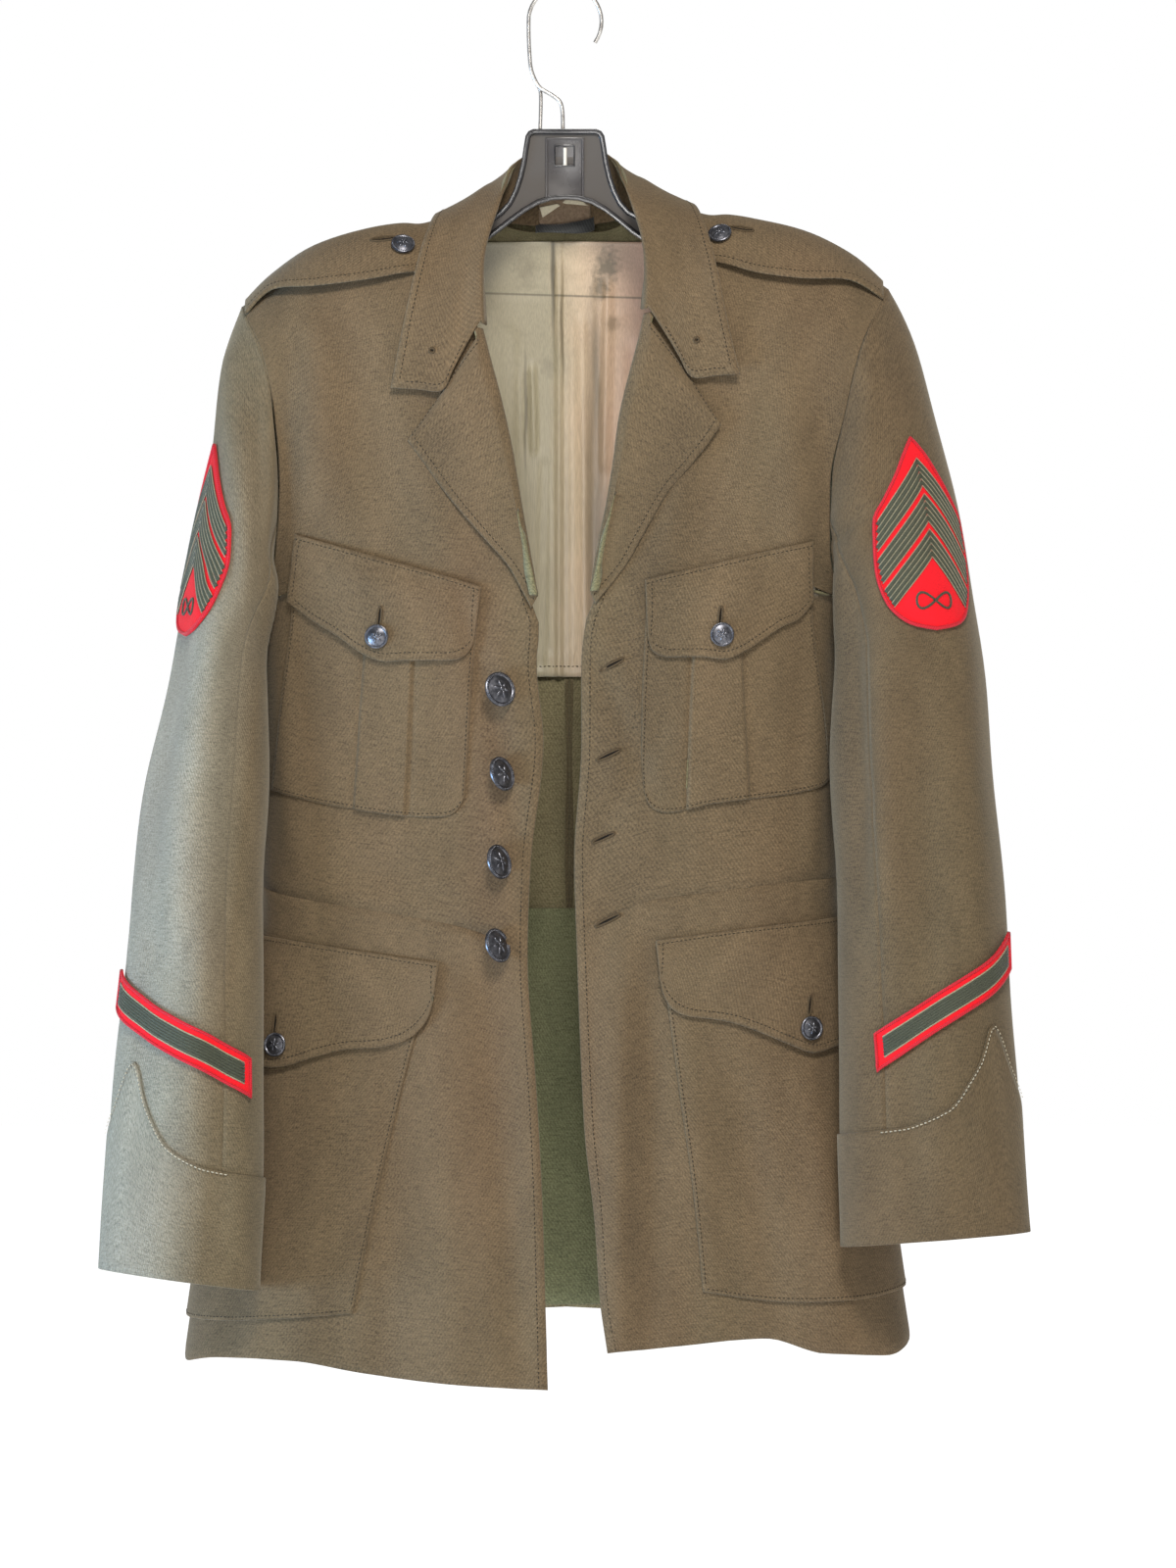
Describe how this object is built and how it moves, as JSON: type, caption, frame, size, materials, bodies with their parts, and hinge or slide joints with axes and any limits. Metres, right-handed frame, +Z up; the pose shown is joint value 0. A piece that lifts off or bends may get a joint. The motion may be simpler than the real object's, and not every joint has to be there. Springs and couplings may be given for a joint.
{
  "type": "service coat on a clothes hanger",
  "caption": "Olive-brown single-breasted wool service coat with patch pockets, shoulder straps and sleeve chevrons, hanging open on a black hanger.",
  "frame": {"origin": "inner top of the hanger's hook, where a rail carries it", "axes": "+Z up, +X to the viewer's right seen from the coat's front, -Y out of the coat's front"},
  "size_m": [0.6431, 0.2066, 0.9717],
  "materials": {
    "coat_wool": "matte napped wool twill",
    "button_metal": "dark oxidised, satin",
    "red_felt": "matte felt with ribbed tape",
    "lining_satin": "satin",
    "label_cloth": "matte",
    "dark_tape": "matte",
    "black_plastic": "gloss",
    "hook_steel": "bright plated wire"
  },
  "bodies": {
    "root": {"back_left": "coat_wool", "back_right": "coat_wool", "front_left": "coat_wool", "front_right": "coat_wool", "skirt_left": "coat_wool", "skirt_right": "coat_wool", "vent_underlap": "coat_wool", "lapel_left": "coat_wool", "lapel_right": "coat_wool", "collar": "coat_wool", "topsleeve_left": "coat_wool", "topsleeve_right": "coat_wool", "undersleeve_left": "coat_wool", "undersleeve_right": "coat_wool", "cuff_left": "coat_wool", "cuff_right": "coat_wool", "strap_left": "coat_wool", "strap_right": "coat_wool", "breast_pocket_left": "coat_wool", "breast_pocket_right": "coat_wool", "lower_pocket_left": "coat_wool", "lower_pocket_right": "coat_wool", "breast_flap_left": "coat_wool", "breast_flap_right": "coat_wool", "lower_flap_left": "coat_wool", "lower_flap_right": "coat_wool", "front_button_1": "button_metal", "front_button_2": "button_metal", "front_button_3": "button_metal", "front_button_4": "button_metal", "breast_button_left": "button_metal", "breast_button_right": "button_metal", "lower_button_left": "button_metal", "lower_button_right": "button_metal", "strap_button_left": "button_metal", "strap_button_right": "button_metal", "rank_patch_left": "red_felt", "rank_patch_right": "red_felt", "service_stripe_left": "red_felt", "service_stripe_right": "red_felt", "back_lining": "lining_satin", "label": "label_cloth", "hanging_loop": "dark_tape", "hanger_body": "black_plastic", "hanger_hook": "hook_steel", "hanger_hook_tail": "hook_steel"}
  },
  "joints": []
}
